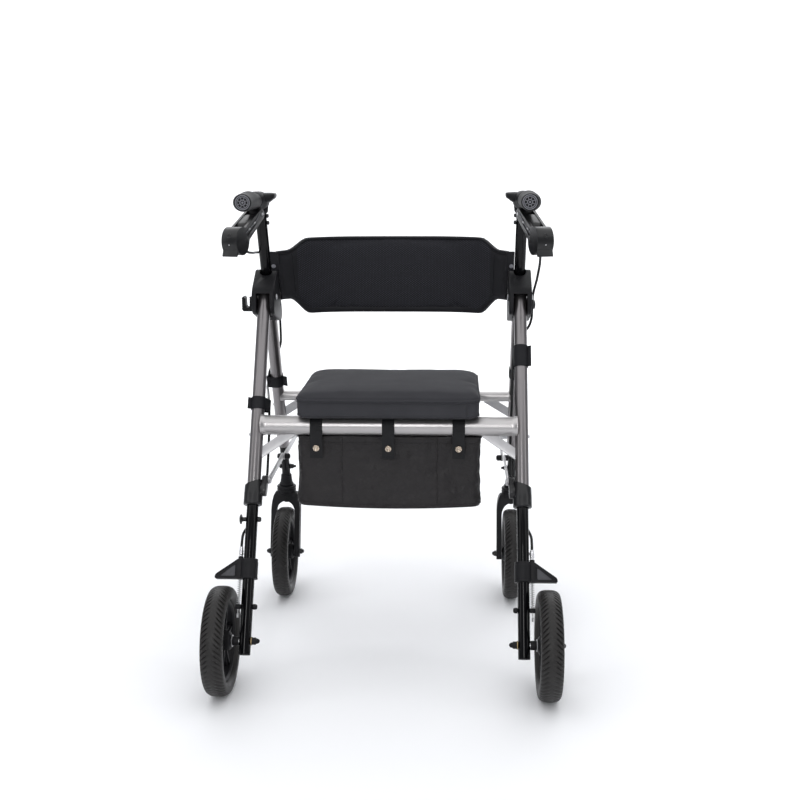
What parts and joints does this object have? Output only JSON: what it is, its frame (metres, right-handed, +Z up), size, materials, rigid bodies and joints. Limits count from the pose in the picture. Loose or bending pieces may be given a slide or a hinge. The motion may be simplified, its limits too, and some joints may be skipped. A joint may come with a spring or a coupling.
{
  "type": "four-wheel walker",
  "caption": "folding aluminium walking frame with swivelling front wheels, a padded flip-up seat, curved backrest, under-seat bag, height-adjustable grips and loop brake levers",
  "frame": {"origin": "on the floor, under the middle of the walker", "axes": "+Z up, +Y the way the walker rolls, +X to the right of its user, who stands at -Y"},
  "size_m": [0.6636, 0.715, 0.9099],
  "materials": {
    "titanium_lacquer": "satin metallic lacquer on aluminium tube",
    "pale_aluminium": "satin",
    "black_lacquer": "gloss",
    "black_plastic": "satin moulding",
    "zinc_steel": "zinc plated",
    "tyre_rubber": "matt",
    "grip_rubber": "matt",
    "seat_leatherette": "grained",
    "backrest_mesh": "spacer mesh",
    "bag_cloth": "woven nylon"
  },
  "bodies": {
    "front_frame": {"front_leg_left": "titanium_lacquer", "front_leg_right": "titanium_lacquer", "front_crossbar": "titanium_lacquer", "hinge_bracket_left": "black_plastic", "hinge_bracket_right": "black_plastic", "fold_pin_left": "zinc_steel", "fold_pin_right": "zinc_steel", "cane_clip": "black_plastic", "handle_knob_right": "black_plastic", "handle_bolt_left": "zinc_steel", "backrest_pad": "backrest_mesh", "bag": "bag_cloth", "brake_cable_left": "black_plastic", "brake_cable_right": "black_plastic"},
    "rear_frame": {"rear_leg_left": "titanium_lacquer", "rear_leg_right": "titanium_lacquer", "rear_crossbar": "titanium_lacquer", "leg_collar_left": "black_plastic", "leg_collar_right": "black_plastic"},
    "seat": {"seat_board": "black_plastic", "seat_cushion": "seat_leatherette"},
    "rear_stay_link_left": {"rear_stay_left": "pale_aluminium"},
    "front_stay_link_left": {"front_stay_left": "pale_aluminium"},
    "rear_lower_left": {"rear_lower_leg_left": "black_lacquer", "rear_axle_left": "zinc_steel", "spring_bolt_left": "black_plastic", "brake_spring_left": "zinc_steel", "cane_cup_bolt": "black_plastic"},
    "shoe_left": {"brake_shoe_left": "black_plastic"},
    "rear_wheel_left": {"rear_tyre_left": "tyre_rubber", "rear_rim_left": "black_plastic"},
    "front_lower_left": {"front_lower_leg_left": "black_lacquer", "housing_bolt_left": "black_plastic"},
    "caster_left": {"caster_fork_left": "black_plastic", "front_axle_left": "zinc_steel"},
    "front_wheel_left": {"front_tyre_left": "tyre_rubber", "front_rim_left": "black_plastic"},
    "handle_left": {"handle_pole_left": "black_lacquer", "handle_head_left": "black_plastic", "grip_left": "grip_rubber"},
    "lever_left": {"brake_lever_left": "black_plastic"},
    "rear_stay_link_right": {"rear_stay_right": "pale_aluminium"},
    "front_stay_link_right": {"front_stay_right": "pale_aluminium"},
    "rear_lower_right": {"rear_lower_leg_right": "black_lacquer", "rear_axle_right": "zinc_steel", "spring_bolt_right": "black_plastic", "brake_spring_right": "zinc_steel"},
    "shoe_right": {"brake_shoe_right": "black_plastic"},
    "rear_wheel_right": {"rear_tyre_right": "tyre_rubber", "rear_rim_right": "black_plastic"},
    "front_lower_right": {"front_lower_leg_right": "black_lacquer", "housing_bolt_right": "black_plastic"},
    "caster_right": {"caster_fork_right": "black_plastic", "front_axle_right": "zinc_steel"},
    "front_wheel_right": {"front_tyre_right": "tyre_rubber", "front_rim_right": "black_plastic"},
    "handle_right": {"handle_pole_right": "black_lacquer", "handle_head_right": "black_plastic", "grip_right": "grip_rubber"},
    "lever_right": {"brake_lever_right": "black_plastic"}
  },
  "joints": [
    {"name": "fold", "type": "hinge", "parent": "front_frame", "child": "rear_frame", "pos_m": [0, 0.06233, 0.7], "axis": [1, 0, 0], "range_deg": [0, 35], "deforming": ["bag"]},
    {"name": "seat_hinge", "type": "hinge", "parent": "front_frame", "child": "seat", "pos_m": [0, 0.21365, 0.469], "axis": [1, 0, 0], "range_deg": [-60, 0]},
    {"name": "rear_stay_pivot_left", "type": "hinge", "parent": "rear_frame", "child": "rear_stay_link_left", "pos_m": [-0.229, -0.10227, 0.364], "axis": [1, 0, 0], "range_deg": [0, 50.7]},
    {"name": "front_stay_pivot_left", "type": "hinge", "parent": "front_frame", "child": "front_stay_link_left", "pos_m": [-0.225, 0.25601, 0.372], "axis": [1, 0, 0], "range_deg": [-47.7, 0]},
    {"name": "rear_leg_slide_left", "type": "slide", "parent": "rear_frame", "child": "rear_lower_left", "axis": [0, -0.4704, -0.8825], "range_m": [0, 0.05]},
    {"name": "front_leg_slide_left", "type": "slide", "parent": "front_frame", "child": "front_lower_left", "axis": [0, 0.4002, -0.9164], "range_m": [0, 0.05]},
    {"name": "brake_shoe_slide_left", "type": "slide", "parent": "rear_lower_left", "child": "shoe_left", "axis": [0, -0.4704, -0.8825], "range_m": [0, 0.012], "deforming": ["brake_spring_left"]},
    {"name": "rear_wheel_spin_left", "type": "hinge", "parent": "rear_lower_left", "child": "rear_wheel_left", "pos_m": [-0.3, -0.2575, 0.1], "axis": [1, 0, 0], "continuous": true},
    {"name": "caster_swivel_left", "type": "hinge", "parent": "front_lower_left", "child": "caster_left", "pos_m": [-0.2555, 0.2975, 0.232], "axis": [0, 0, 1], "continuous": true},
    {"name": "front_wheel_spin_left", "type": "hinge", "parent": "caster_left", "child": "front_wheel_left", "pos_m": [-0.2555, 0.2575, 0.1], "axis": [1, 0, 0], "continuous": true},
    {"name": "handle_height_left", "type": "slide", "parent": "front_frame", "child": "handle_left", "axis": [0, -0.4002, 0.9164], "range_m": [-0.075, 0.025], "deforming": ["brake_cable_left"]},
    {"name": "brake_lever_hinge_left", "type": "hinge", "parent": "handle_left", "child": "lever_left", "pos_m": [-0.26, 0.00054, 0.866], "axis": [0.9563, -0.2924, 0], "range_deg": [-19, 0], "stiffness_Nm_per_rad": 1},
    {"name": "rear_stay_pivot_right", "type": "hinge", "parent": "rear_frame", "child": "rear_stay_link_right", "pos_m": [0.229, -0.10227, 0.364], "axis": [1, 0, 0], "range_deg": [0, 50.7]},
    {"name": "front_stay_pivot_right", "type": "hinge", "parent": "front_frame", "child": "front_stay_link_right", "pos_m": [0.225, 0.25601, 0.372], "axis": [1, 0, 0], "range_deg": [-47.7, 0]},
    {"name": "rear_leg_slide_right", "type": "slide", "parent": "rear_frame", "child": "rear_lower_right", "axis": [0, -0.4704, -0.8825], "range_m": [0, 0.05]},
    {"name": "front_leg_slide_right", "type": "slide", "parent": "front_frame", "child": "front_lower_right", "axis": [0, 0.4002, -0.9164], "range_m": [0, 0.05]},
    {"name": "brake_shoe_slide_right", "type": "slide", "parent": "rear_lower_right", "child": "shoe_right", "axis": [0, -0.4704, -0.8825], "range_m": [0, 0.012], "deforming": ["brake_spring_right"]},
    {"name": "rear_wheel_spin_right", "type": "hinge", "parent": "rear_lower_right", "child": "rear_wheel_right", "pos_m": [0.3, -0.2575, 0.1], "axis": [1, 0, 0], "continuous": true},
    {"name": "caster_swivel_right", "type": "hinge", "parent": "front_lower_right", "child": "caster_right", "pos_m": [0.2555, 0.2975, 0.232], "axis": [0, 0, 1], "continuous": true},
    {"name": "front_wheel_spin_right", "type": "hinge", "parent": "caster_right", "child": "front_wheel_right", "pos_m": [0.2555, 0.2575, 0.1], "axis": [1, 0, 0], "continuous": true},
    {"name": "handle_height_right", "type": "slide", "parent": "front_frame", "child": "handle_right", "axis": [0, -0.4002, 0.9164], "range_m": [-0.075, 0.025], "deforming": ["brake_cable_right"]},
    {"name": "brake_lever_hinge_right", "type": "hinge", "parent": "handle_right", "child": "lever_right", "pos_m": [0.26, 0.00054, 0.866], "axis": [0.9563, 0.2924, 0], "range_deg": [-19, 0], "stiffness_Nm_per_rad": 1}
  ],
  "couplings": [
    {"joint": "rear_stay_pivot_left", "follows": "fold", "ratio": 1.4476},
    {"joint": "front_stay_pivot_left", "follows": "fold", "ratio": -1.3614},
    {"joint": "brake_shoe_slide_left", "follows": "brake_lever_hinge_left", "m_per_rad": -0.034},
    {"joint": "rear_stay_pivot_right", "follows": "fold", "ratio": 1.4476},
    {"joint": "front_stay_pivot_right", "follows": "fold", "ratio": -1.3614},
    {"joint": "brake_shoe_slide_right", "follows": "brake_lever_hinge_right", "m_per_rad": -0.034}
  ]
}
